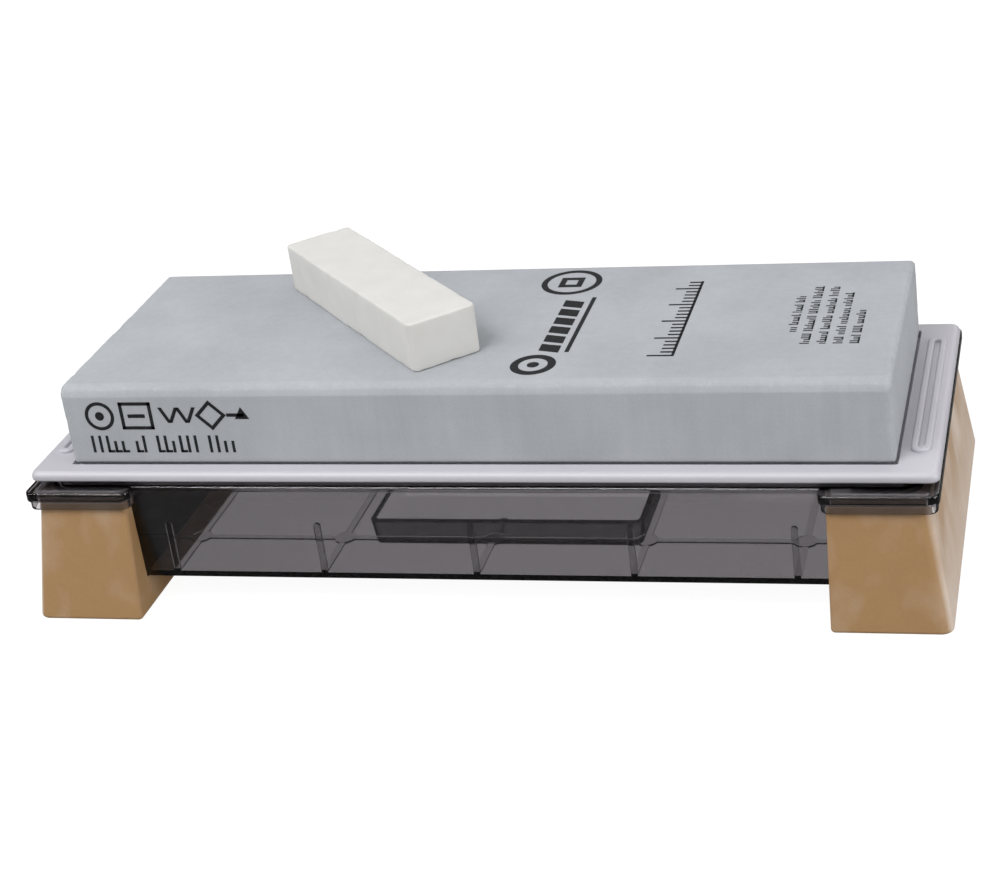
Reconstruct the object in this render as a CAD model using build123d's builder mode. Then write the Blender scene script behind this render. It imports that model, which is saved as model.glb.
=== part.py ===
from build123d import *
import os

# Sharpening whetstone on its stand: a stone in a tray, the tray on a smoked plastic case,
# and the case held at both ends by rubber boots. Millimetres, +Z up, +X along the stone,
# origin on the table under the middle of the set.

os.makedirs("parts", exist_ok=True)

# ---------------------------------------------------------------- driving dimensions
# sharpening stone
stone_l, stone_w, stone_h = 206.0, 73.0, 23.0
stone_chamfer_top = 1.8
stone_chamfer_corner = 0.9   # on the four upright edges
stone_chamfer_foot = 2.8

# dressing stone, lying at a slant across the sharpening stone
dresser_l, dresser_w, dresser_h = 74.0, 18.6, 12.7
dresser_x, dresser_y = -30.0, 3.0
dresser_turn = -47.0
dresser_corner = 1.5         # rounding of the four upright edges
dresser_round = 0.8          # rounding of the edges above and below

# heights above the table
case_base_z = 8.2            # underside of the case floor
tray_underside_z = 35.4      # top of the case walls, where the tray rests
tray_top_z = 38.0

# case
case_l, case_w = 218.0, 83.2
case_corner = 5.0
wall_t = 1.7
floor_t = 1.4
rib_t = 1.6                  # thickness of every rib
rib_pitch = 39.4             # ribs along the case
rib_count = 5
wall_rib_depth = 0.8
wall_rib_h = 13.7
floor_rib_h = 0.4
floor_rib_y = 23.2           # the two long floor ribs lie this far from the middle
pad_r, pad_h = 2.7, 0.5      # round pads where the floor ribs cross
well_l, well_w = 73.0, 28.0  # outside size of the sunken well, at the case floor
well_t = 1.3                 # its wall and floor
well_foot_z = 1.4            # underside of the well
well_corner = 2.6
well_draft = 7.0             # degrees

# rim of the case: a narrow flange, and a deeper hood at each end over the boot
rim_overhang = 1.0
rim_top_z = 34.6
rim_t = 1.5
rim_round_top, rim_round_foot = 0.6, 0.4
hood_x_in, hood_x_out = 85.4, 113.3
hood_w = 93.0
hood_corner = 2.4
shelf_t = 2.6
shelf_border = 2.6           # the shelf keeps its thickness this far in from its edge
shelf_hollow = 1.1           # and is this much thinner from there to the case
hood_z = 29.7                # lower edge of the hood's lip
lip_step = 0.5               # the lip is set in from the shelf above it
lip_t = 1.0

# rubber boots: wide foot, narrow top, a pocket that takes the end of the case
boot_x_in_foot, boot_x_in_top = 86.8, 87.1
boot_x_out_foot, boot_x_out_top = 115.4, 110.9
boot_w_foot, boot_w_top = 99.0, 88.8
boot_outer_corner, boot_inner_corner = 3.0, 1.2
boot_gap = 0.15              # between the pocket and the case
boot_top_gap = 0.2           # between the top of the boot and the hood

# tray
tray_l, tray_w = 226.4, 84.0
tray_corner = 2.4
recess_gap = 0.4             # between the stone and the wall of its recess
recess_depth = 2.0
dish_t = 1.6                 # wall of the dish that hangs into the case
skirt_z = 33.2               # lower edge of the skirt round the dish
recess_round = 0.35
ridge_x = 108.2              # raised ridge at each end of the tray
ridge_l, ridge_w, ridge_h = 63.0, 4.8, 0.9
ridge_slot_w = 1.3

# ---------------------------------------------------------------- derived values
floor_z = case_base_z + floor_t
inner_l = case_l - 2 * wall_t
inner_w = case_w - 2 * wall_t
rim_bottom_z = rim_top_z - rim_t
shelf_z = rim_top_z - shelf_t
hood_l = hood_x_out - hood_x_in
hood_mid_x = (hood_x_out + hood_x_in) / 2
boot_top_z = shelf_z - boot_top_gap
recess_z = tray_top_z - recess_depth
recess_l = stone_l + 2 * recess_gap
recess_w = stone_w + 2 * recess_gap
stone_top_z = recess_z + stone_h


def save(piece, name):
    """Label the finished piece and write it as its own STEP file."""
    piece.part.label = name
    export_step(piece.part, f"parts/{name}.step")


# ---------------------------------------------------------------- sharpening stone
with BuildPart() as sharpening_stone:
    with BuildSketch(Plane.XY.offset(recess_z)):
        Rectangle(stone_l, stone_w)
    extrude(amount=stone_h)
    chamfer(sharpening_stone.edges().group_by(Axis.Z)[-1], length=stone_chamfer_top)
    chamfer(sharpening_stone.edges().group_by(Axis.Z)[0], length=stone_chamfer_foot)
    chamfer(sharpening_stone.edges().filter_by(Axis.Z), length=stone_chamfer_corner)

save(sharpening_stone, "sharpening_stone")

# ---------------------------------------------------------------- dressing stone
with BuildPart() as dressing_stone:
    with BuildSketch(Plane.XY.offset(stone_top_z)):
        with Locations((dresser_x, dresser_y)):
            Rectangle(dresser_l, dresser_w, rotation=dresser_turn)
    extrude(amount=dresser_h)
    fillet(dressing_stone.edges().filter_by(Axis.Z), radius=dresser_corner)
    fillet(dressing_stone.edges().group_by(Axis.Z)[-1], radius=dresser_round)
    fillet(dressing_stone.edges().group_by(Axis.Z)[0], radius=dresser_round)

save(dressing_stone, "dressing_stone")

# ---------------------------------------------------------------- tray
with BuildPart() as stone_tray:
    with BuildSketch(Plane.XY.offset(tray_underside_z)):
        RectangleRounded(tray_l, tray_w, tray_corner)
    extrude(amount=tray_top_z - tray_underside_z)
    fillet(stone_tray.edges().group_by(Axis.Z)[-1], radius=1.5)
    fillet(stone_tray.edges().group_by(Axis.Z)[0], radius=0.7)

    # dish that hangs below the plate, with a skirt that centres it in the case
    with BuildSketch(Plane.XY.offset(skirt_z)):
        RectangleRounded(recess_l + 2 * dish_t, recess_w + 2 * dish_t, 2.5)
    extrude(amount=recess_z - skirt_z)
    with BuildSketch(Plane.XY.offset(skirt_z)):
        RectangleRounded(recess_l, recess_w, 1.2)
    extrude(amount=recess_z - dish_t - skirt_z, mode=Mode.SUBTRACT)

    # recess that holds the stone
    with BuildSketch(Plane.XY.offset(recess_z)):
        RectangleRounded(recess_l, recess_w, 0.6)
    extrude(amount=recess_depth, mode=Mode.SUBTRACT)
    top_edges = stone_tray.edges().filter_by_position(Axis.Z, tray_top_z - 0.01, tray_top_z + 0.01)
    recess_edges = top_edges.filter_by_position(Axis.X, -recess_l / 2 - 0.1, recess_l / 2 + 0.1)
    recess_edges = recess_edges.filter_by_position(Axis.Y, -recess_w / 2 - 0.1, recess_w / 2 + 0.1)
    fillet(recess_edges, radius=recess_round)

    # raised ridge round a long shallow slot, at each end
    with BuildSketch(Plane.XY.offset(tray_top_z)):
        with Locations((-ridge_x, 0), (ridge_x, 0)):
            SlotOverall(ridge_l, ridge_w, rotation=90)
            SlotOverall(ridge_l - 4, ridge_slot_w, rotation=90, mode=Mode.SUBTRACT)
    extrude(amount=ridge_h)
    ridge_edges = stone_tray.edges().group_by(Axis.Z)[-1]
    fillet(ridge_edges, radius=0.6)

save(stone_tray, "stone_tray")

# ---------------------------------------------------------------- case
with BuildPart() as storage_case:
    # narrow flange along the sides
    with BuildSketch(Plane.XY.offset(rim_bottom_z)):
        RectangleRounded(case_l + 2 * rim_overhang, case_w + 2 * rim_overhang, case_corner)
    extrude(amount=rim_t)
    fillet(storage_case.edges().group_by(Axis.Z)[0], radius=rim_round_foot)

    # shelf over each boot
    with BuildSketch(Plane.XY.offset(shelf_z)):
        with Locations((-hood_mid_x, 0), (hood_mid_x, 0)):
            RectangleRounded(hood_l, hood_w, hood_corner)
    extrude(amount=shelf_t)
    fillet(storage_case.edges().group_by(Axis.Z)[-1], radius=rim_round_top)
    fillet(storage_case.edges().group_by(Axis.Z)[0], radius=rim_round_foot)

    # lip that hangs from the shelf
    with BuildSketch(Plane.XY.offset(hood_z)):
        with Locations((-hood_mid_x, 0), (hood_mid_x, 0)):
            RectangleRounded(hood_l - 2 * lip_step, hood_w - 2 * lip_step, hood_corner)
            RectangleRounded(
                hood_l - 2 * (lip_step + lip_t),
                hood_w - 2 * (lip_step + lip_t),
                hood_corner - lip_t,
                mode=Mode.SUBTRACT,
            )
    extrude(amount=shelf_z - hood_z)
    fillet(storage_case.edges().group_by(Axis.Z)[0], radius=0.35)

    # hollow under the shelf, which the body then fills in its middle
    with BuildSketch(Plane.XY.offset(shelf_z)):
        with Locations((-hood_mid_x, 0), (hood_mid_x, 0)):
            RectangleRounded(hood_l - 2 * shelf_border, hood_w - 2 * shelf_border, 1.0)
    extrude(amount=shelf_hollow, mode=Mode.SUBTRACT)

    # body, as a solid block
    with BuildSketch(Plane.XY.offset(case_base_z)):
        RectangleRounded(case_l, case_w, case_corner)
    extrude(amount=tray_underside_z - case_base_z)
    fillet(storage_case.edges().group_by(Axis.Z)[0], radius=0.9)

    # well in the floor, as a solid block
    with BuildSketch(Plane.XY.offset(floor_z)):
        RectangleRounded(well_l, well_w, well_corner)
    extrude(amount=well_foot_z - floor_z, taper=well_draft)
    fillet(storage_case.edges().group_by(Axis.Z)[0], radius=0.6)

    # inside of the body
    with BuildSketch(Plane.XY.offset(floor_z)):
        RectangleRounded(inner_l, inner_w, case_corner - wall_t)
    extrude(amount=tray_underside_z - floor_z, mode=Mode.SUBTRACT)

    # floor ribs both ways, with a pad where they cross
    with BuildSketch(Plane.XY.offset(floor_z)):
        with GridLocations(rib_pitch, 1, rib_count, 1):
            Rectangle(rib_t, inner_w)
        with GridLocations(1, 2 * floor_rib_y, 1, 2):
            Rectangle(inner_l, rib_t)
    extrude(amount=floor_rib_h)
    with BuildSketch(Plane.XY.offset(floor_z)):
        with GridLocations(rib_pitch, 2 * floor_rib_y, rib_count, 2):
            Circle(pad_r)
    extrude(amount=pad_h)

    # round-topped ribs up the inside of both long walls
    for side in (-1, 1):
        with BuildSketch(Plane.XZ.offset(side * inner_w / 2)):
            with Locations((0, floor_z + wall_rib_h / 2 - rib_t / 4)):
                with GridLocations(rib_pitch, 1, rib_count, 1):
                    SlotOverall(wall_rib_h + rib_t / 2, rib_t, rotation=90)
        extrude(amount=-side * wall_rib_depth)

    # inside of the well, and the ribs that would cross it
    with BuildSketch(Plane.XY.offset(floor_z)):
        RectangleRounded(well_l - 2 * well_t, well_w - 2 * well_t, well_corner - well_t)
    extrude(amount=well_foot_z + well_t - floor_z, taper=well_draft, mode=Mode.SUBTRACT)
    with BuildSketch(Plane.XY.offset(floor_z)):
        RectangleRounded(well_l - 2 * well_t, well_w - 2 * well_t, well_corner - well_t)
    extrude(amount=pad_h, mode=Mode.SUBTRACT)

save(storage_case, "storage_case")

# ---------------------------------------------------------------- rubber boots
for side, name in ((-1, "rubber_boot_left"), (1, "rubber_boot_right")):
    foot_l = boot_x_out_foot - boot_x_in_foot
    foot_mid_x = side * (boot_x_out_foot + boot_x_in_foot) / 2
    top_l = boot_x_out_top - boot_x_in_top
    top_mid_x = side * (boot_x_out_top + boot_x_in_top) / 2
    with BuildPart() as boot:
        with BuildSketch(Plane.XY):
            with Locations((foot_mid_x, 0)):
                Rectangle(foot_l, boot_w_foot)
        with BuildSketch(Plane.XY.offset(boot_top_z)):
            with Locations((top_mid_x, 0)):
                Rectangle(top_l, boot_w_top)
        loft()
        outwards = Axis((0, 0, 0), (side, 0, 0))
        standing_edges = boot.edges().filter_by_position(Axis.Z, 1, boot_top_z - 1).sort_by(outwards)
        fillet(standing_edges[-2:], radius=boot_outer_corner)
        inner_edges = boot.edges().filter_by_position(Axis.Z, 1, boot_top_z - 1).sort_by(outwards)[:2]
        fillet(inner_edges, radius=boot_inner_corner)
        fillet(boot.edges().group_by(Axis.Z)[0], radius=0.8)

        # pocket for the end of the case
        with BuildSketch(Plane.XY.offset(case_base_z)):
            RectangleRounded(case_l + 2 * boot_gap, case_w + 2 * boot_gap, case_corner)
        extrude(amount=boot_top_z - case_base_z, mode=Mode.SUBTRACT)

    save(boot, name)
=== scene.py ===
"""Looks for a sharpening whetstone: stone, dressing stone, tray, smoked case and rubber boots."""

import math
import random

import bmesh
import bpy
from bpy.props import FloatProperty, FloatVectorProperty, PointerProperty
from mathutils import Matrix, Vector, noise


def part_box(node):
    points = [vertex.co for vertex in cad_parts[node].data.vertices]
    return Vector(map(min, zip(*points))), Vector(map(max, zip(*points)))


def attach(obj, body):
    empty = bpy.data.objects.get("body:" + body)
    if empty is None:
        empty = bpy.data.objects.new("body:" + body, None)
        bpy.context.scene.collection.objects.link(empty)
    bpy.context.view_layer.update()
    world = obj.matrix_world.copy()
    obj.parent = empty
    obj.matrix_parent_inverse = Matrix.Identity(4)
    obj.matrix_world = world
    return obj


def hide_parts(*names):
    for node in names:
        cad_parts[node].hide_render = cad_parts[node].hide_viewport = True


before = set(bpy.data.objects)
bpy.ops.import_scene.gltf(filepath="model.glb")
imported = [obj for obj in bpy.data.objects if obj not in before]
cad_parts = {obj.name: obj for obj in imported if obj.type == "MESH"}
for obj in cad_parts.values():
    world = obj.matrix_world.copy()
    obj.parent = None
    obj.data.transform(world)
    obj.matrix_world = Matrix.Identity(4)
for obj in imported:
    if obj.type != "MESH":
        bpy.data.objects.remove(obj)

bl_info = {
    "name": "Sharpening Whetstone",
    "version": (1, 0, 0),
    "blender": (4, 5, 0),
    "location": "3D View > Sidebar > Whetstone",
    "description": "Builds a sharpening whetstone on its tray, water case and rubber boots",
    "category": "Object",
}

MM = 0.001

STONE_LOW, STONE_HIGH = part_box("sharpening_stone")
DRESSER_LOW, DRESSER_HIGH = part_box("dressing_stone")
BOOT_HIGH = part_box("rubber_boot_right")[1]

# small print on the top of the stone: how many strokes each group of each line has
PRINT_LINES = ((3, 6, 5, 4), (6, 9, 8, 7), (7, 8, 9, 6), (4, 5, 9, 8), (5, 4, 8))

# area lights: name, size and place in metres, and the setting that holds the power
LIGHTS = (
    ("key_softbox", (0.7, 0.5), (-0.35, -0.6, 0.95), "key_power"),
    ("overhead_softbox", (1.8, 1.4), (0.0, 0.15, 1.2), "overhead_power"),
    ("left_softbox", (0.6, 0.6), (-0.9, -0.45, 0.45), "left_power"),
    ("right_softbox", (0.6, 0.6), (1.0, -0.25, 0.24), "right_power"),
    ("front_strip", (1.3, 0.04), (0.0, -0.9, 0.75), "strip_power"),
    ("back_softbox", (0.8, 0.6), (0.25, 0.95, 0.55), "back_power"),
)
LIGHT_AIM = (0.0, 0.0, 0.03)
FLOOR_REACH = 6.0

# camera: place in metres, angles in degrees, and shift in widths of the frame
CAMERA_PLACE = (0.15230, -0.47407, 0.27006)
CAMERA_YAW, CAMERA_PITCH, CAMERA_ROLL = 14.71, 22.92, -6.84
CAMERA_SHIFT_X, CAMERA_SHIFT_Y = -0.1003, -0.1304


# ------------------------------------------------------------------ colour and node helpers
def linear(hex_colour):
    """Turn an sRGB hex colour such as "#a1b2c3" into linear RGB."""
    parts = [int(hex_colour[i:i + 2], 16) / 255 for i in (1, 3, 5)]
    return tuple(c / 12.92 if c <= 0.04045 else ((c + 0.055) / 1.055) ** 2.4 for c in parts)


def rgba(colour):
    """Colour with full alpha."""
    return (colour[0], colour[1], colour[2], 1.0)


def per_mm(size):
    """Texture scale that gives features of this size in millimetres on Object coordinates."""
    return 1 / (size * MM)


def add_node(tree, kind, inputs=None, **settings):
    """Add a node, set its properties, and fill or link its inputs."""
    made = tree.nodes.new(kind)
    for key, value in settings.items():
        setattr(made, key, value)
    for key, value in (inputs or {}).items():
        if isinstance(value, bpy.types.NodeSocket):
            tree.links.new(value, made.inputs[key])
        else:
            made.inputs[key].default_value = value
    return made


def start_material(name):
    """New material with an empty node tree, and its Object coordinates."""
    material = bpy.data.materials.new(name)
    material.use_nodes = True
    tree = material.node_tree
    tree.nodes.clear()
    coords = add_node(tree, "ShaderNodeTexCoord").outputs["Object"]
    return material, tree, coords


# ------------------------------------------------------------------ materials
def rub_along_edges(tree, coords, low, high, reach):
    """Socket that is 1 along a block's edges and falls to 0 a short way in."""
    middle = (Vector(low) + Vector(high)) / 2
    half = (Vector(high) - Vector(low)) / 2
    centred = add_node(tree, "ShaderNodeVectorMath", {0: coords, 1: middle}, operation="SUBTRACT")
    sized = add_node(tree, "ShaderNodeVectorMath", {0: centred.outputs[0]}, operation="ABSOLUTE")
    depth = add_node(tree, "ShaderNodeVectorMath", {0: half, 1: sized.outputs[0]},
                     operation="SUBTRACT")
    parts = add_node(tree, "ShaderNodeSeparateXYZ", {0: depth.outputs[0]})
    nearer = add_node(tree, "ShaderNodeMath", {0: parts.outputs[0], 1: parts.outputs[1]},
                      operation="MINIMUM")
    further = add_node(tree, "ShaderNodeMath", {0: parts.outputs[0], 1: parts.outputs[1]},
                       operation="MAXIMUM")
    third = add_node(tree, "ShaderNodeMath", {0: further.outputs[0], 1: parts.outputs[2]},
                     operation="MINIMUM")
    second = add_node(tree, "ShaderNodeMath", {0: nearer.outputs[0], 1: third.outputs[0]},
                      operation="MAXIMUM")
    edge = add_node(tree, "ShaderNodeMapRange",
                    {0: second.outputs[0], 1: 0.0, 2: reach * MM, 3: 1.0, 4: 0.0},
                    interpolation_type="SMOOTHSTEP")
    return edge.outputs[0]


def grinding_stone_material(settings):
    """Bonded alumina, pressed, fired and lapped: a dead matte, fine and even blue-grey
    surface with a slight clouding, faint upright drying streaks on its sides, faint lapping
    lines along it, and a pale rub where the edges are worn."""
    material, tree, coords = start_material("bonded_alumina_lapped")
    # The real grit is about 0.01 mm; it is drawn at 0.45 mm so that it shows.
    grain = add_node(tree, "ShaderNodeTexNoise",
                     {"Vector": coords, "Scale": per_mm(0.45), "Detail": 2.0,
                      "Roughness": 0.6}).outputs["Fac"]
    cloud = add_node(tree, "ShaderNodeTexNoise",
                     {"Vector": coords, "Scale": per_mm(24), "Detail": 4.0,
                      "Roughness": 0.55}).outputs["Fac"]
    upright = add_node(tree, "ShaderNodeMapping",
                       {0: coords, "Scale": (per_mm(2.2), per_mm(2.2), per_mm(26))}).outputs[0]
    streak = add_node(tree, "ShaderNodeTexNoise",
                      {"Vector": upright, "Scale": 1.0, "Detail": 2.0}).outputs["Fac"]
    lengthways = add_node(tree, "ShaderNodeMapping",
                          {0: coords, "Scale": (per_mm(40), per_mm(0.9), per_mm(0.9))}).outputs[0]
    lapping = add_node(tree, "ShaderNodeTexNoise",
                       {"Vector": lengthways, "Scale": 1.0, "Detail": 2.0}).outputs["Fac"]
    clouding = add_node(tree, "ShaderNodeMapRange",
                        {0: cloud, 1: 0.3, 2: 0.7, 3: 0.0, 4: 1.0}).outputs[0]
    body = add_node(tree, "ShaderNodeMix",
                    {0: clouding, 6: rgba(settings.stone_colour),
                     7: rgba(settings.stone_pale_colour)}, data_type="RGBA").outputs[2]
    # grain, streaks and lapping lines each shade the body by a few percent round 1
    shade = add_node(tree, "ShaderNodeMath", {0: grain, 1: 0.24, 2: 0.805},
                     operation="MULTIPLY_ADD").outputs[0]
    shade = add_node(tree, "ShaderNodeMath", {0: streak, 1: 0.11, 2: shade},
                     operation="MULTIPLY_ADD").outputs[0]
    shade = add_node(tree, "ShaderNodeMath", {0: lapping, 1: 0.04, 2: shade},
                     operation="MULTIPLY_ADD").outputs[0]
    body = add_node(tree, "ShaderNodeVectorMath", {0: body, "Scale": shade},
                    operation="SCALE").outputs[0]
    worn = rub_along_edges(tree, coords, STONE_LOW, STONE_HIGH, 2.2)
    crumbs = add_node(tree, "ShaderNodeTexNoise",
                      {"Vector": coords, "Scale": per_mm(1.6), "Detail": 3.0,
                       "Roughness": 0.7}).outputs["Fac"]
    crumbs = add_node(tree, "ShaderNodeMapRange",
                      {0: crumbs, 1: 0.5, 2: 0.68, 3: 0.0, 4: 0.7}).outputs[0]
    rubbed = add_node(tree, "ShaderNodeMath", {0: worn, 1: crumbs},
                      operation="MULTIPLY").outputs[0]
    body = add_node(tree, "ShaderNodeMix",
                    {0: rubbed, 6: body, 7: rgba(settings.stone_worn_colour)},
                    data_type="RGBA").outputs[2]
    height = add_node(tree, "ShaderNodeMath", {0: lapping, 1: 0.3, 2: grain},
                      operation="MULTIPLY_ADD").outputs[0]
    bump = add_node(tree, "ShaderNodeBump",
                    {"Strength": 0.3, "Distance": 0.04 * MM, "Height": height}).outputs[0]
    shader = add_node(tree, "ShaderNodeBsdfPrincipled",
                      {"Base Color": body, "Roughness": 0.85, "Specular IOR Level": 0.3,
                       "Normal": bump})
    add_node(tree, "ShaderNodeOutputMaterial", {"Surface": shader.outputs[0]})
    return material


def dressing_stone_material(settings):
    """White alumina, pressed and fired: chalky, matte, very slightly warm and mottled."""
    material, tree, coords = start_material("white_alumina_chalky")
    grain = add_node(tree, "ShaderNodeTexNoise",
                     {"Vector": coords, "Scale": per_mm(0.5), "Detail": 3.0,
                      "Roughness": 0.6}).outputs["Fac"]
    blotch = add_node(tree, "ShaderNodeTexNoise",
                      {"Vector": coords, "Scale": per_mm(7), "Detail": 4.0,
                       "Roughness": 0.55}).outputs["Fac"]
    mottling = add_node(tree, "ShaderNodeMapRange",
                        {0: blotch, 1: 0.35, 2: 0.7, 3: 0.0, 4: 1.0}).outputs[0]
    body = add_node(tree, "ShaderNodeMix",
                    {0: mottling, 6: rgba(settings.dresser_colour),
                     7: rgba(settings.dresser_shade_colour)}, data_type="RGBA").outputs[2]
    height = add_node(tree, "ShaderNodeMath", {0: grain, 1: 0.6, 2: blotch},
                      operation="MULTIPLY_ADD").outputs[0]
    bump = add_node(tree, "ShaderNodeBump",
                    {"Strength": 0.5, "Distance": 0.08 * MM, "Height": height}).outputs[0]
    shader = add_node(tree, "ShaderNodeBsdfPrincipled",
                      {"Base Color": body, "Roughness": 0.92, "Specular IOR Level": 0.25,
                       "Normal": bump})
    add_node(tree, "ShaderNodeOutputMaterial", {"Surface": shader.outputs[0]})
    return material


def tray_material(settings):
    """ABS, injection moulded in a satin tool: pale lavender grey with a soft sheen."""
    material, tree, coords = start_material("abs_satin_moulded")
    texture = add_node(tree, "ShaderNodeTexNoise",
                       {"Vector": coords, "Scale": per_mm(0.35), "Detail": 2.0}).outputs["Fac"]
    drift = add_node(tree, "ShaderNodeTexNoise",
                     {"Vector": coords, "Scale": per_mm(30), "Detail": 2.0}).outputs["Fac"]
    body = add_node(tree, "ShaderNodeMix",
                    {0: drift, 6: rgba(settings.tray_colour),
                     7: rgba(settings.tray_pale_colour)}, data_type="RGBA").outputs[2]
    rough = add_node(tree, "ShaderNodeMapRange",
                     {0: texture, 1: 0.2, 2: 0.8, 3: 0.34, 4: 0.46}).outputs[0]
    bump = add_node(tree, "ShaderNodeBump",
                    {"Strength": 0.12, "Distance": 0.02 * MM, "Height": texture}).outputs[0]
    shader = add_node(tree, "ShaderNodeBsdfPrincipled",
                      {"Base Color": body, "Roughness": rough, "IOR": 1.53, "Normal": bump})
    add_node(tree, "ShaderNodeOutputMaterial", {"Surface": shader.outputs[0]})
    return material


def case_material(settings):
    """Polystyrene tinted smoke grey, moulded in a polished tool: clear and glossy. A wall
    lets about half the light through, and anything seen edge-on turns almost black."""
    material, tree, coords = start_material("smoked_polystyrene_polished")
    haze = add_node(tree, "ShaderNodeTexNoise",
                    {"Vector": coords, "Scale": per_mm(9), "Detail": 4.0,
                     "Roughness": 0.6}).outputs["Fac"]
    rough = add_node(tree, "ShaderNodeMapRange",
                     {0: haze, 1: 0.35, 2: 0.75, 3: 0.015, 4: 0.05}).outputs[0]
    shader = add_node(tree, "ShaderNodeBsdfPrincipled",
                      {"Base Color": rgba(linear("#ffffff")), "Roughness": rough, "IOR": 1.55,
                       "Transmission Weight": 1.0})
    absorb = add_node(tree, "ShaderNodeVolumeAbsorption",
                      {"Color": rgba(settings.smoke_colour), "Density": settings.smoke_density})
    add_node(tree, "ShaderNodeOutputMaterial",
             {"Surface": shader.outputs[0], "Volume": absorb.outputs[0]})
    return material


def boot_material(settings):
    """Natural rubber, compression moulded: tan, matte, with faint flow marks. Pale bloom
    clouds it softly. Low on the outer ends it is partly bloom and partly painted side light,
    and the pale band along the top rim is a painted highlight."""
    material, tree, coords = start_material("tan_rubber_moulded")
    flow = add_node(tree, "ShaderNodeTexNoise",
                    {"Vector": coords, "Scale": per_mm(13), "Detail": 4.0, "Roughness": 0.55,
                     "Distortion": 1.0}).outputs["Fac"]
    smear = add_node(tree, "ShaderNodeMapping",
                     {0: coords, "Scale": (per_mm(15), per_mm(15), per_mm(21))}).outputs[0]
    smear = add_node(tree, "ShaderNodeTexNoise",
                     {"Vector": smear, "Scale": 1.0, "Detail": 3.0,
                      "Roughness": 0.5}).outputs["Fac"]
    speck = add_node(tree, "ShaderNodeTexNoise",
                     {"Vector": coords, "Scale": per_mm(0.7), "Detail": 3.0,
                      "Roughness": 0.7}).outputs["Fac"]
    parts = add_node(tree, "ShaderNodeSeparateXYZ", {0: coords})
    reach = add_node(tree, "ShaderNodeMath", {0: parts.outputs["X"]},
                     operation="ABSOLUTE").outputs[0]
    taper = add_node(tree, "ShaderNodeMath",
                     {0: parts.outputs["Z"], 1: settings.boot_taper, 2: reach},
                     operation="MULTIPLY_ADD").outputs[0]
    # outer end faces: the pale colour here is partly real bloom and partly painted side light
    outer = add_node(tree, "ShaderNodeMapRange",
                     {0: taper, 1: BOOT_HIGH[0] - 1.4 * MM, 2: BOOT_HIGH[0] - 0.2 * MM,
                      3: 0.0, 4: 1.0}).outputs[0]
    # painted highlight: a pale band just under each boot's top rim, standing in for light caught
    # on its edge
    rim = add_node(tree, "ShaderNodeMapRange",
                   {0: parts.outputs["Z"], 1: BOOT_HIGH[2] - 1.1 * MM,
                    2: BOOT_HIGH[2] - 0.4 * MM, 3: 0.0, 4: 0.75}).outputs[0]
    flow_range = add_node(tree, "ShaderNodeMapRange",
                          {0: flow, 1: 0.35, 2: 0.7, 3: 0.0, 4: 0.35}).outputs[0]
    body = add_node(tree, "ShaderNodeMix",
                    {0: flow_range, 6: rgba(settings.rubber_colour),
                     7: rgba(settings.rubber_shade_colour)}, data_type="RGBA").outputs[2]
    # on the outer ends the bloom and painted side light are strongest at the foot and thin out by
    # 20 mm up
    least = add_node(tree, "ShaderNodeMapRange",
                     {0: parts.outputs["Z"], 1: 0.0, 2: 20 * MM, 3: 0.9, 4: 0.3}).outputs[0]
    outer_bloom_and_painted_light = add_node(tree, "ShaderNodeMapRange",
                     {0: smear, 1: 0.36, 2: 0.68, 3: least, 4: 0.95}).outputs[0]
    outer_bloom_and_painted_light = add_node(tree, "ShaderNodeMath", {0: outer, 1: outer_bloom_and_painted_light},
                     operation="MULTIPLY").outputs[0]
    light = add_node(tree, "ShaderNodeMapRange",
                     {0: smear, 1: 0.5, 2: 0.72, 3: 0.0, 4: 0.3}).outputs[0]
    bloom_and_painted_light = add_node(tree, "ShaderNodeMath", {0: light, 1: outer_bloom_and_painted_light},
                     operation="MAXIMUM").outputs[0]
    # the painted rim highlight joins the pale bloom here
    bloom_and_painted_light = add_node(tree, "ShaderNodeMath", {0: bloom_and_painted_light, 1: rim},
                     operation="MAXIMUM").outputs[0]
    body = add_node(tree, "ShaderNodeMix",
                    {0: bloom_and_painted_light, 6: body, 7: rgba(settings.rubber_bloom_and_painted_light_colour)},
                    data_type="RGBA").outputs[2]
    shade = add_node(tree, "ShaderNodeMath", {0: speck, 1: 0.16, 2: 0.92},
                     operation="MULTIPLY_ADD").outputs[0]
    body = add_node(tree, "ShaderNodeVectorMath", {0: body, "Scale": shade},
                    operation="SCALE").outputs[0]
    rough = add_node(tree, "ShaderNodeMapRange",
                     {0: flow, 1: 0.3, 2: 0.7, 3: 0.5, 4: 0.68}).outputs[0]
    level = add_node(tree, "ShaderNodeMapping",
                     {0: coords, "Scale": (per_mm(26), per_mm(26), per_mm(2.4))}).outputs[0]
    ripple = add_node(tree, "ShaderNodeTexNoise",
                      {"Vector": level, "Scale": 1.0, "Detail": 2.0}).outputs["Fac"]
    height = add_node(tree, "ShaderNodeMath", {0: speck, 1: 0.25, 2: ripple},
                      operation="MULTIPLY_ADD").outputs[0]
    bump = add_node(tree, "ShaderNodeBump",
                    {"Strength": 0.3, "Distance": 0.13 * MM, "Height": height}).outputs[0]
    shader = add_node(tree, "ShaderNodeBsdfPrincipled",
                      {"Base Color": body, "Roughness": rough, "IOR": 1.52, "Normal": bump})
    add_node(tree, "ShaderNodeOutputMaterial", {"Surface": shader.outputs[0]})
    return material


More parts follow.
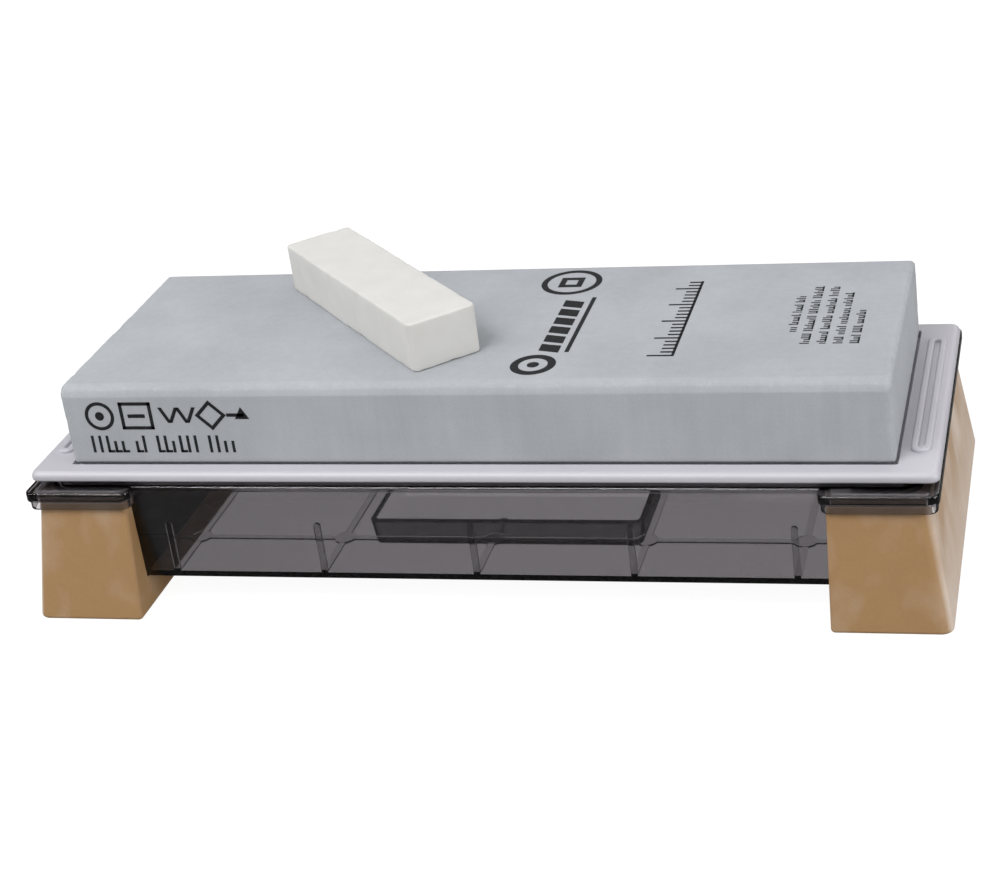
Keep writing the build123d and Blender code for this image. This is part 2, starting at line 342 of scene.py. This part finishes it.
def ink_material(settings):
    """Solvent ink, pad printed: near black, slightly thin in the pores of the stone."""
    material, tree, coords = start_material("black_ink_printed")
    pores = add_node(tree, "ShaderNodeTexNoise",
                     {"Vector": coords, "Scale": per_mm(0.6), "Detail": 2.0}).outputs["Fac"]
    thin = add_node(tree, "ShaderNodeMapRange",
                    {0: pores, 1: 0.55, 2: 0.8, 3: 0.0, 4: 0.5}).outputs[0]
    body = add_node(tree, "ShaderNodeMix",
                    {0: thin, 6: rgba(settings.ink_colour), 7: rgba(settings.ink_thin_colour)},
                    data_type="RGBA").outputs[2]
    shader = add_node(tree, "ShaderNodeBsdfPrincipled",
                      {"Base Color": body, "Roughness": 0.6, "Specular IOR Level": 0.3})
    add_node(tree, "ShaderNodeOutputMaterial", {"Surface": shader.outputs[0]})
    return material


def floor_material(settings):
    """Opal acrylic light table: white, matte and lit from below, so that things standing on
    it are seen through. It lights the object less than it shows, like a table whose light is
    aimed at the viewer."""
    material, tree, coords = start_material("opal_acrylic_light_table")
    path = add_node(tree, "ShaderNodeLightPath")
    seen = add_node(tree, "ShaderNodeMath",
                    {0: path.outputs["Is Camera Ray"], 1: path.outputs["Is Transmission Ray"]},
                    operation="MAXIMUM").outputs[0]
    spill = add_node(tree, "ShaderNodeMath",
                     {0: path.outputs["Is Diffuse Ray"], 1: settings.floor_spill},
                     operation="MULTIPLY").outputs[0]
    glow = add_node(tree, "ShaderNodeMath", {0: seen, 1: settings.floor_glow, 2: spill},
                    operation="MULTIPLY_ADD").outputs[0]
    mottle = add_node(tree, "ShaderNodeTexNoise",
                      {"Vector": coords, "Scale": per_mm(80)}).outputs["Fac"]
    mottle = add_node(tree, "ShaderNodeMapRange",
                      {0: mottle, 1: 0.0, 2: 1.0, 3: 0.99, 4: 1.01}).outputs[0]
    glow = add_node(tree, "ShaderNodeMath", {0: glow, 1: mottle},
                    operation="MULTIPLY").outputs[0]
    shader = add_node(tree, "ShaderNodeBsdfPrincipled",
                      {"Base Color": rgba(linear("#656565")), "Roughness": 0.9,
                       "Specular IOR Level": 0.0, "Emission Color": rgba(linear("#ffffff")),
                       "Emission Strength": glow})
    add_node(tree, "ShaderNodeOutputMaterial", {"Surface": shader.outputs[0]})
    return material


# ------------------------------------------------------------------ piece helpers
def finish_piece(name, bm, material, body, node, sharp=50):
    """Make the mesh an object, give it its material, tie it to its body and hide the node it
    replaces.
    """
    bmesh.ops.remove_doubles(bm, verts=bm.verts, dist=1e-6)
    bmesh.ops.recalc_face_normals(bm, faces=bm.faces)
    mesh = bpy.data.meshes.new(name)
    bm.to_mesh(mesh)
    bm.free()
    mesh.materials.append(material)
    mesh.shade_smooth()
    mesh.set_sharp_from_angle(angle=math.radians(sharp))
    piece = bpy.data.objects.new(name, mesh)
    bpy.context.scene.collection.objects.link(piece)
    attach(piece, body)
    if node:
        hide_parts(node)
    return piece


def refinish(node, material):
    """Give a CAD node its finish."""
    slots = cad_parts[node].data.materials
    slots.clear()
    slots.append(material)


def block(bm, low, high):
    """Add a block between two corners."""
    size = Vector(high) - Vector(low)
    middle = (Vector(high) + Vector(low)) / 2
    place = Matrix.Translation(middle) @ Matrix.Diagonal((size.x, size.y, size.z, 1))
    bmesh.ops.create_cube(bm, size=1, matrix=place)


def round_edges(bm, edges, radius, segments):
    """Cut or round the given edges."""
    bmesh.ops.bevel(bm, geom=edges, offset=radius, offset_type="OFFSET", segments=segments,
                    profile=0.5, affect="EDGES", material=-1, clamp_overlap=True)


def edges_at_height(bm, height):
    """The level edges at a height."""
    return [e for e in bm.edges if all(abs(v.co.z - height) < 1e-6 for v in e.verts)]


def end_edges(bm, reach, above):
    """The edges round the ends of a block, above a height."""
    return [e for e in bm.edges
            if all(abs(abs(v.co.x) - reach) < 1e-6 for v in e.verts)
            and max(v.co.z for v in e.verts) > above]


def upright_edges(bm):
    """The edges that stand upright."""
    return [e for e in bm.edges
            if (e.verts[0].co - e.verts[1].co).xy.length < 1e-6]


def slice_up(bm, spacing):
    """Cut the whole mesh into slices along each axis, so that its surface can be worked."""
    for axis in range(3):
        places = [v.co[axis] for v in bm.verts]
        low, high = min(places), max(places)
        count = max(1, round((high - low) / spacing))
        normal = Vector([1.0 if i == axis else 0.0 for i in range(3)])
        for step in range(1, count):
            at = normal * (low + (high - low) * step / count)
            bmesh.ops.bisect_plane(bm, geom=bm.verts[:] + bm.edges[:] + bm.faces[:],
                                   plane_co=at, plane_no=normal, dist=1e-6)


def wear(bm, low, high, waviness, wave_size, chip, chip_size, reach, seed):
    """Press a block's surface in unevenly, and chip it along its edges."""
    middle = (Vector(low) + Vector(high)) / 2
    half = (Vector(high) - Vector(low)) / 2
    shift = Vector((seed, seed * 0.7, seed * 1.3))
    bm.normal_update()
    moves = []
    for vert in bm.verts:
        depth = sorted(half[i] - abs(vert.co[i] - middle[i]) for i in range(3))
        edge = max(0.0, 1 - depth[1] / reach)
        swell = 0.5 + 0.5 * noise.noise(vert.co / wave_size + shift)
        crumb = max(0.0, noise.noise(vert.co / chip_size + shift * 3) - 0.15)
        moves.append(-vert.normal * (waviness * swell * (0.3 + 0.7 * edge)
                                     + chip * crumb * edge))
    for vert, move in zip(bm.verts, moves):
        vert.co += move


# ------------------------------------------------------------------ printed marks
def ink_bar(bm, place, left, foot, width, height, lean=0.0):
    """Flat bar with its lower left corner at a place, in millimetres."""
    slant = Matrix.Identity(4)
    slant[0][1] = lean
    size = Matrix.Diagonal((width * MM, height * MM, 1, 1))
    at = Matrix.Translation(((left + width / 2) * MM, (foot + height / 2) * MM, 0))
    bmesh.ops.create_grid(bm, x_segments=1, y_segments=1, size=0.5,
                          matrix=place @ at @ slant @ size)


def ink_outline(bm, place, across, up, radius, sides, stroke, turn=0.0, squeeze=1.0):
    """Outline of a regular shape round a middle point, in millimetres."""
    at = Matrix.Translation((across * MM, up * MM, 0))
    shape = Matrix.Diagonal((squeeze, 1, 1, 1)) @ Matrix.Rotation(math.radians(turn), 4, "Z")
    rim = bmesh.ops.create_circle(bm, cap_ends=True, radius=radius * MM, segments=sides,
                                  matrix=place @ at @ shape)["verts"]
    inner = rim[0].link_faces[0]
    if stroke:
        bmesh.ops.inset_region(bm, faces=[inner], thickness=stroke * MM, use_boundary=True,
                               use_even_offset=True)
        bm.faces.remove(inner)


def ink_words(bm, place, left, foot, words, height, pitch, stroke, pen):
    """Line of upright strokes in groups, like a line of print seen from far off."""
    at = left
    for count in words:
        for _ in range(count):
            tall = height if pen.random() < 0.4 else height * 0.68
            ink_bar(bm, place, at, foot, stroke, tall)
            if pen.random() < 0.55:
                ink_bar(bm, place, at, foot, pitch - stroke * 0.2, stroke * 0.9)
            at += pitch
        at += pitch * 0.9


def thicken_ink(bm, place, depth, proud):
    """Give the flat marks a little thickness, from under the surface to just above it."""
    outwards = (place.to_3x3() @ Vector((0, 0, 1))).normalized()
    bmesh.ops.translate(bm, verts=bm.verts, vec=-outwards * depth)
    grown = bmesh.ops.extrude_face_region(bm, geom=bm.faces[:])["geom"]
    top = [item for item in grown if isinstance(item, bmesh.types.BMVert)]
    bmesh.ops.translate(bm, verts=top, vec=outwards * (depth + proud))


# ------------------------------------------------------------------ settings
class WhetstoneStoneSettings(bpy.types.PropertyGroup):
    """Sizes and colours of the two stones and the printed marks."""

    chamfer_top: FloatProperty(
        name="Top chamfer", description="Chamfer along the top of the sharpening stone",
        default=1.8 * MM, min=0.0, unit="LENGTH")
    chamfer_foot: FloatProperty(
        name="Foot chamfer", description="Chamfer round the foot of the sharpening stone",
        default=2.4 * MM, min=0.0, unit="LENGTH")
    chamfer_corner: FloatProperty(
        name="End chamfer", description="Chamfer round the sharpening stone's ends",
        default=0.9 * MM, min=0.0, unit="LENGTH")
    stone_colour: FloatVectorProperty(
        name="Stone", description="Main colour of the sharpening stone",
        default=linear("#a3a6ab"), subtype="COLOR", min=0.0, max=1.0)
    stone_pale_colour: FloatVectorProperty(
        name="Stone clouding", description="Colour of the paler clouds in the sharpening stone",
        default=linear("#aeb1b5"), subtype="COLOR", min=0.0, max=1.0)
    stone_worn_colour: FloatVectorProperty(
        name="Stone wear", description="Colour of the sharpening stone's rubbed edges",
        default=linear("#b9bbbd"), subtype="COLOR", min=0.0, max=1.0)
    dresser_length: FloatProperty(
        name="Dressing stone length", description="Length of the dressing stone",
        default=74 * MM, min=0.0, unit="LENGTH")
    dresser_width: FloatProperty(
        name="Dressing stone width", description="Width of the dressing stone",
        default=18.6 * MM, min=0.0, unit="LENGTH")
    dresser_turn: FloatProperty(
        name="Dressing stone turn", description="Slant of the dressing stone on the stone",
        default=math.radians(-47), unit="ROTATION")
    dresser_corner: FloatProperty(
        name="Dressing stone corner", description="Rounding of its upright edges",
        default=1.5 * MM, min=0.0, unit="LENGTH")
    dresser_round: FloatProperty(
        name="Dressing stone rounding", description="Rounding of its edges above and below",
        default=0.45 * MM, min=0.0, unit="LENGTH")
    dresser_colour: FloatVectorProperty(
        name="Dressing stone", description="Main colour of the dressing stone",
        default=linear("#d5d4d1"), subtype="COLOR", min=0.0, max=1.0)
    dresser_shade_colour: FloatVectorProperty(
        name="Dressing stone mottling", description="Colour of the dressing stone's blotches",
        default=linear("#d0cfcc"), subtype="COLOR", min=0.0, max=1.0)
    ink_colour: FloatVectorProperty(
        name="Ink", description="Colour of the printed marks",
        default=linear("#1b1c1f"), subtype="COLOR", min=0.0, max=1.0)
    ink_thin_colour: FloatVectorProperty(
        name="Thin ink", description="Colour of the marks where the ink is thin",
        default=linear("#45474b"), subtype="COLOR", min=0.0, max=1.0)


class WhetstoneHolderSettings(bpy.types.PropertyGroup):
    """Colours of the tray, the case and the boots."""

    tray_colour: FloatVectorProperty(
        name="Tray", description="Main colour of the tray",
        default=linear("#bdbbc2"), subtype="COLOR", min=0.0, max=1.0)
    tray_pale_colour: FloatVectorProperty(
        name="Tray drift", description="Second colour that the tray drifts to",
        default=linear("#c2c0c7"), subtype="COLOR", min=0.0, max=1.0)
    smoke_colour: FloatVectorProperty(
        name="Smoke", description="Tint of the smoked plastic",
        default=linear("#4b3045"), subtype="COLOR", min=0.0, max=1.0)
    smoke_density: FloatProperty(
        name="Smoke density", description="Absorption of the smoked plastic per metre",
        default=510.0, min=0.0)
    rubber_colour: FloatVectorProperty(
        name="Rubber", description="Main colour of the rubber boots",
        default=linear("#a68258"), subtype="COLOR", min=0.0, max=1.0)
    rubber_shade_colour: FloatVectorProperty(
        name="Rubber flow", description="Colour of the flow marks in the rubber",
        default=linear("#9a764d"), subtype="COLOR", min=0.0, max=1.0)
    # this pale colour is the bloom, and it also paints the highlight along the boots' top rim and
    # part of the side light on their outer ends
    rubber_bloom_and_painted_light_colour: FloatVectorProperty(
        name="Rubber bloom", description="Colour of the pale bloom on the rubber",
        default=linear("#d6c6b8"), subtype="COLOR", min=0.0, max=1.0)
    boot_taper: FloatProperty(
        name="Boot taper", description="How far the outer end leans in for each metre of height",
        default=0.1415, min=0.0)


class WhetstoneStageSettings(bpy.types.PropertyGroup):
    """Camera, light and floor."""

    lens: FloatProperty(
        name="Lens", description="Focal length of the camera in millimetres",
        default=77.42, min=1.0)
    floor_glow: FloatProperty(
        name="Floor glow", description="Brightness of the light table as it is seen",
        default=0.95, min=0.0)
    floor_spill: FloatProperty(
        name="Floor spill", description="Brightness of the light table as it lights things",
        default=0.36, min=0.0)
    key_power: FloatProperty(
        name="Key power", description="Power of the softbox in front, in watts",
        default=8.3, min=0.0)
    overhead_power: FloatProperty(
        name="Overhead power", description="Power of the softbox overhead, in watts",
        default=6.0, min=0.0)
    left_power: FloatProperty(
        name="Left power", description="Power of the softbox on the left, in watts",
        default=2.4, min=0.0)
    right_power: FloatProperty(
        name="Right power", description="Power of the softbox on the right, in watts",
        default=6.5, min=0.0)
    strip_power: FloatProperty(
        name="Strip power", description="Power of the strip light in front, in watts",
        default=1.2, min=0.0)
    back_power: FloatProperty(
        name="Back power", description="Power of the softbox behind, in watts",
        default=1.8, min=0.0)


# ------------------------------------------------------------------ operators
class WHETSTONE_OT_sharpening_stone(bpy.types.Operator):
    """Build the sharpening stone: a pressed block with chamfered and slightly worn edges"""

    bl_idname = "whetstone.sharpening_stone"
    bl_label = "Sharpening Stone"

    def execute(self, context):
        settings = context.scene.whetstone_stone
        bm = bmesh.new()
        block(bm, STONE_LOW, STONE_HIGH)
        long_edges = [e for e in edges_at_height(bm, STONE_HIGH[2])
                      if abs(e.verts[0].co.y - e.verts[1].co.y) < 1e-6]
        round_edges(bm, long_edges, settings.chamfer_top, 1)
        round_edges(bm, edges_at_height(bm, STONE_LOW[2]), settings.chamfer_foot, 1)
        ends = end_edges(bm, STONE_HIGH[0], STONE_LOW[2] + settings.chamfer_foot + 0.1 * MM)
        round_edges(bm, ends, settings.chamfer_corner, 1)
        round_edges(bm, bm.edges[:], 0.3 * MM, 2)
        slice_up(bm, 1.7 * MM)
        wear(bm, STONE_LOW, STONE_HIGH, waviness=0.05 * MM, wave_size=14 * MM,
             chip=0.9 * MM, chip_size=2.6 * MM, reach=1.6 * MM, seed=4.0)
        finish_piece("sharpening_stone_block", bm, grinding_stone_material(settings),
                     "whetstone", "sharpening_stone", sharp=60)
        return {"FINISHED"}


class WHETSTONE_OT_printed_marks(bpy.types.Operator):
    """Print the plain ink marks on the top and the front of the sharpening stone"""

    bl_idname = "whetstone.printed_marks"
    bl_label = "Printed Marks"

    def execute(self, context):
        material = ink_material(context.scene.whetstone_stone)
        self.print_top(material)
        self.print_front(material)
        return {"FINISHED"}

    def print_top(self, material):
        """Marks on the top, which read from the right-hand end of the stone."""
        pen = random.Random(5)
        top = STONE_HIGH[2]
        place = Matrix(((0, -1, 0, 0), (1, 0, 0, 0), (0, 0, 1, top), (0, 0, 0, 1)))
        bm = bmesh.new()
        # emblem: a ring with a dot, a row of leaning bars over a long rule, and a crescent
        ink_outline(bm, place, -26.0, -16.8, 5.6, 36, 2.0)
        ink_outline(bm, place, -26.0, -16.8, 1.5, 24, 0)
        for count in range(6):
            ink_bar(bm, place, -18.6 + count * 5.3, -21.4, 3.9, 5.2, lean=0.25)
        ink_bar(bm, place, -19.0, -24.0, 33.0, 1.1)
        ink_outline(bm, place, 24.0, -15.2, 8.0, 40, 1.6)
        ink_outline(bm, place, 24.0, -15.2, 4.4, 4, 1.6, turn=45)
        # gauge: a ruled line with ticks
        ink_bar(bm, place, -22.0, -50.4, 45.0, 0.7)
        for count in range(23):
            tall = 6.6 if count % 5 == 0 else 3.6
            ink_bar(bm, place, -22.0 + count * 2.0, -50.4, 0.75, tall)
        # five short lines
        for row, words in enumerate(PRINT_LINES):
            left = -16.0 if row else -9.0
            ink_words(bm, place, left, -78.0 - row * 3.95, words, 2.3, 1.05, 0.5, pen)
        thicken_ink(bm, place, 0.15 * MM, 0.03 * MM)
        finish_piece("printed_marks_top", bm, material, "whetstone", None)

    def print_front(self, material):
        """Marks on the front, near its left-hand end."""
        pen = random.Random(8)
        front = STONE_LOW[1]
        place = Matrix(((1, 0, 0, 0), (0, 0, -1, front), (0, 1, 0, 0), (0, 0, 0, 1)))
        bm = bmesh.new()
        # five plain signs: a ring, a box, a wave, a diamond and an arrow
        ink_outline(bm, place, -93.2, 51.1, 3.9, 36, 0.9)
        ink_outline(bm, place, -93.2, 51.1, 1.2, 20, 0)
        for left, foot, width, height in ((-87.6, 47.4, 8.6, 0.9), (-87.6, 54.0, 8.6, 0.9),
                                          (-87.6, 47.4, 0.9, 7.5), (-79.9, 47.4, 0.9, 7.5),
                                          (-85.6, 50.6, 4.6, 1.0)):
            ink_bar(bm, place, left, foot, width, height)
        for step in range(4):
            ink_bar(bm, place, -76.2 + step * 2.3, 49.2, 1.0, 4.2, lean=0.5 if step % 2 else -0.5)
        ink_outline(bm, place, -63.6, 51.2, 4.1, 4, 0.9)
        ink_bar(bm, place, -59.4, 50.8, 4.6, 0.9)
        ink_outline(bm, place, -55.4, 51.25, 2.2, 3, 0)
        ink_words(bm, place, -96.8, 41.0, (5, 2, 6, 4), 4.7, 2.0, 0.75, pen)
        thicken_ink(bm, place, 0.15 * MM, 0.03 * MM)
        finish_piece("printed_marks_front", bm, material, "whetstone", None)


class WHETSTONE_OT_dressing_stone(bpy.types.Operator):
    """Build the dressing stone that lies across the sharpening stone"""

    bl_idname = "whetstone.dressing_stone"
    bl_label = "Dressing Stone"

    def execute(self, context):
        settings = context.scene.whetstone_stone
        height = DRESSER_HIGH[2] - DRESSER_LOW[2]
        half = Vector((settings.dresser_length, settings.dresser_width, height)) / 2
        bm = bmesh.new()
        block(bm, -half, half)
        round_edges(bm, upright_edges(bm), settings.dresser_corner, 4)
        round_edges(bm, edges_at_height(bm, half.z), settings.dresser_round, 3)
        round_edges(bm, edges_at_height(bm, -half.z), settings.dresser_round, 3)
        slice_up(bm, 1.3 * MM)
        wear(bm, -half, half, waviness=0.22 * MM, wave_size=7 * MM,
             chip=0.5 * MM, chip_size=2.2 * MM, reach=2.2 * MM, seed=9.0)
        middle = (Vector(DRESSER_LOW) + Vector(DRESSER_HIGH)) / 2
        bmesh.ops.transform(bm, verts=bm.verts,
                            matrix=Matrix.Translation(middle)
                            @ Matrix.Rotation(settings.dresser_turn, 4, "Z"))
        finish_piece("dressing_stone_block", bm, dressing_stone_material(settings),
                     "dresser", "dressing_stone", sharp=60)
        return {"FINISHED"}


class WHETSTONE_OT_tray(bpy.types.Operator):
    """Give the tray its moulded plastic"""

    bl_idname = "whetstone.tray"
    bl_label = "Tray"

    def execute(self, context):
        refinish("stone_tray", tray_material(context.scene.whetstone_holder))
        return {"FINISHED"}


class WHETSTONE_OT_case(bpy.types.Operator):
    """Give the case its smoked plastic"""

    bl_idname = "whetstone.case"
    bl_label = "Case"

    def execute(self, context):
        refinish("storage_case", case_material(context.scene.whetstone_holder))
        return {"FINISHED"}


class WHETSTONE_OT_boots(bpy.types.Operator):
    """Give the boots their rubber"""

    bl_idname = "whetstone.boots"
    bl_label = "Boots"

    def execute(self, context):
        material = boot_material(context.scene.whetstone_holder)
        refinish("rubber_boot_left", material)
        refinish("rubber_boot_right", material)
        return {"FINISHED"}


class WHETSTONE_OT_stage(bpy.types.Operator):
    """Set the floor, the light and the camera"""

    bl_idname = "whetstone.stage"
    bl_label = "Stage"

    def execute(self, context):
        settings = context.scene.whetstone_stage
        self.lay_floor(context, settings)
        self.light_sky(context)
        for name, size, place, power in LIGHTS:
            self.hang_light(context, name, size, place, getattr(settings, power))
        self.set_camera(context, settings)
        context.scene.view_settings.view_transform = "Standard"
        return {"FINISHED"}

    def lay_floor(self, context, settings):
        bm = bmesh.new()
        bmesh.ops.create_grid(bm, x_segments=4, y_segments=4, size=FLOOR_REACH)
        mesh = bpy.data.meshes.new("floor")
        bm.to_mesh(mesh)
        bm.free()
        mesh.materials.append(floor_material(settings))
        floor = bpy.data.objects.new("floor", mesh)
        context.scene.collection.objects.link(floor)

    def light_sky(self, context):
        """Pale surround that lights from above and leaves the horizon dim."""
        world = bpy.data.worlds.new("studio")
        context.scene.world = world
        world.use_nodes = True
        tree = world.node_tree
        tree.nodes.clear()
        direction = add_node(tree, "ShaderNodeTexCoord").outputs["Generated"]
        height = add_node(tree, "ShaderNodeSeparateXYZ", {0: direction}).outputs["Z"]
        rise = add_node(tree, "ShaderNodeMath", {0: height, 1: 3.0}, operation="POWER").outputs[0]
        glow = add_node(tree, "ShaderNodeMath", {0: rise, 1: 0.3, 2: 0.04},
                        operation="MULTIPLY_ADD").outputs[0]
        seen = add_node(tree, "ShaderNodeLightPath").outputs["Is Camera Ray"]
        glow = add_node(tree, "ShaderNodeMath", {0: glow, 1: seen}, operation="MAXIMUM").outputs[0]
        sky = add_node(tree, "ShaderNodeBackground",
                       {"Color": rgba(linear("#ffffff")), "Strength": glow})
        add_node(tree, "ShaderNodeOutputWorld", {"Surface": sky.outputs[0]})

    def hang_light(self, context, name, size, place, power):
        """Area light aimed at the whetstone."""
        light = bpy.data.lights.new(name, "AREA")
        light.shape = "RECTANGLE"
        light.size, light.size_y = size
        light.energy = power
        lamp = bpy.data.objects.new(name, light)
        lamp.location = place
        aim = Vector(LIGHT_AIM) - Vector(place)
        lamp.rotation_euler = aim.to_track_quat("-Z", "Y").to_euler()
        context.scene.collection.objects.link(lamp)

    def set_camera(self, context, settings):
        camera = bpy.data.cameras.new("camera")
        camera.lens = settings.lens
        camera.sensor_width = 36.0
        camera.shift_x = CAMERA_SHIFT_X
        camera.shift_y = CAMERA_SHIFT_Y
        camera.clip_start = 0.01
        stand = bpy.data.objects.new("camera", camera)
        turn = (Matrix.Rotation(math.radians(CAMERA_YAW), 4, "Z")
                @ Matrix.Rotation(math.radians(90 - CAMERA_PITCH), 4, "X")
                @ Matrix.Rotation(math.radians(CAMERA_ROLL), 4, "Z"))
        stand.matrix_world = Matrix.Translation(CAMERA_PLACE) @ turn
        context.scene.collection.objects.link(stand)
        context.scene.camera = stand


class WHETSTONE_PT_panel(bpy.types.Panel):
    """Lists the whetstone's sizes, colours and operators"""

    bl_label = "Whetstone"
    bl_idname = "WHETSTONE_PT_panel"
    bl_space_type = "VIEW_3D"
    bl_region_type = "UI"
    bl_category = "Whetstone"

    def draw(self, context):
        for operator in OPERATORS:
            self.layout.operator(operator.bl_idname)
        for group in (context.scene.whetstone_stone, context.scene.whetstone_holder,
                      context.scene.whetstone_stage):
            column = self.layout.column()
            for setting in group.__annotations__:
                column.prop(group, setting)


OPERATORS = (
    WHETSTONE_OT_sharpening_stone,
    WHETSTONE_OT_printed_marks,
    WHETSTONE_OT_dressing_stone,
    WHETSTONE_OT_tray,
    WHETSTONE_OT_case,
    WHETSTONE_OT_boots,
    WHETSTONE_OT_stage,
)
GROUPS = (WhetstoneStoneSettings, WhetstoneHolderSettings, WhetstoneStageSettings)
CLASSES = GROUPS + OPERATORS + (WHETSTONE_PT_panel,)


def register():
    for each in CLASSES:
        bpy.utils.register_class(each)
    bpy.types.Scene.whetstone_stone = PointerProperty(type=WhetstoneStoneSettings)
    bpy.types.Scene.whetstone_holder = PointerProperty(type=WhetstoneHolderSettings)
    bpy.types.Scene.whetstone_stage = PointerProperty(type=WhetstoneStageSettings)


def unregister():
    del bpy.types.Scene.whetstone_stage
    del bpy.types.Scene.whetstone_holder
    del bpy.types.Scene.whetstone_stone
    for each in reversed(CLASSES):
        bpy.utils.unregister_class(each)


def main():
    """Build every piece and the stage."""
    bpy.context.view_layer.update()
    register()
    bpy.ops.whetstone.sharpening_stone()
    bpy.ops.whetstone.printed_marks()
    bpy.ops.whetstone.dressing_stone()
    bpy.ops.whetstone.tray()
    bpy.ops.whetstone.case()
    bpy.ops.whetstone.boots()
    bpy.ops.whetstone.stage()


if __name__ == "__main__":
    main()
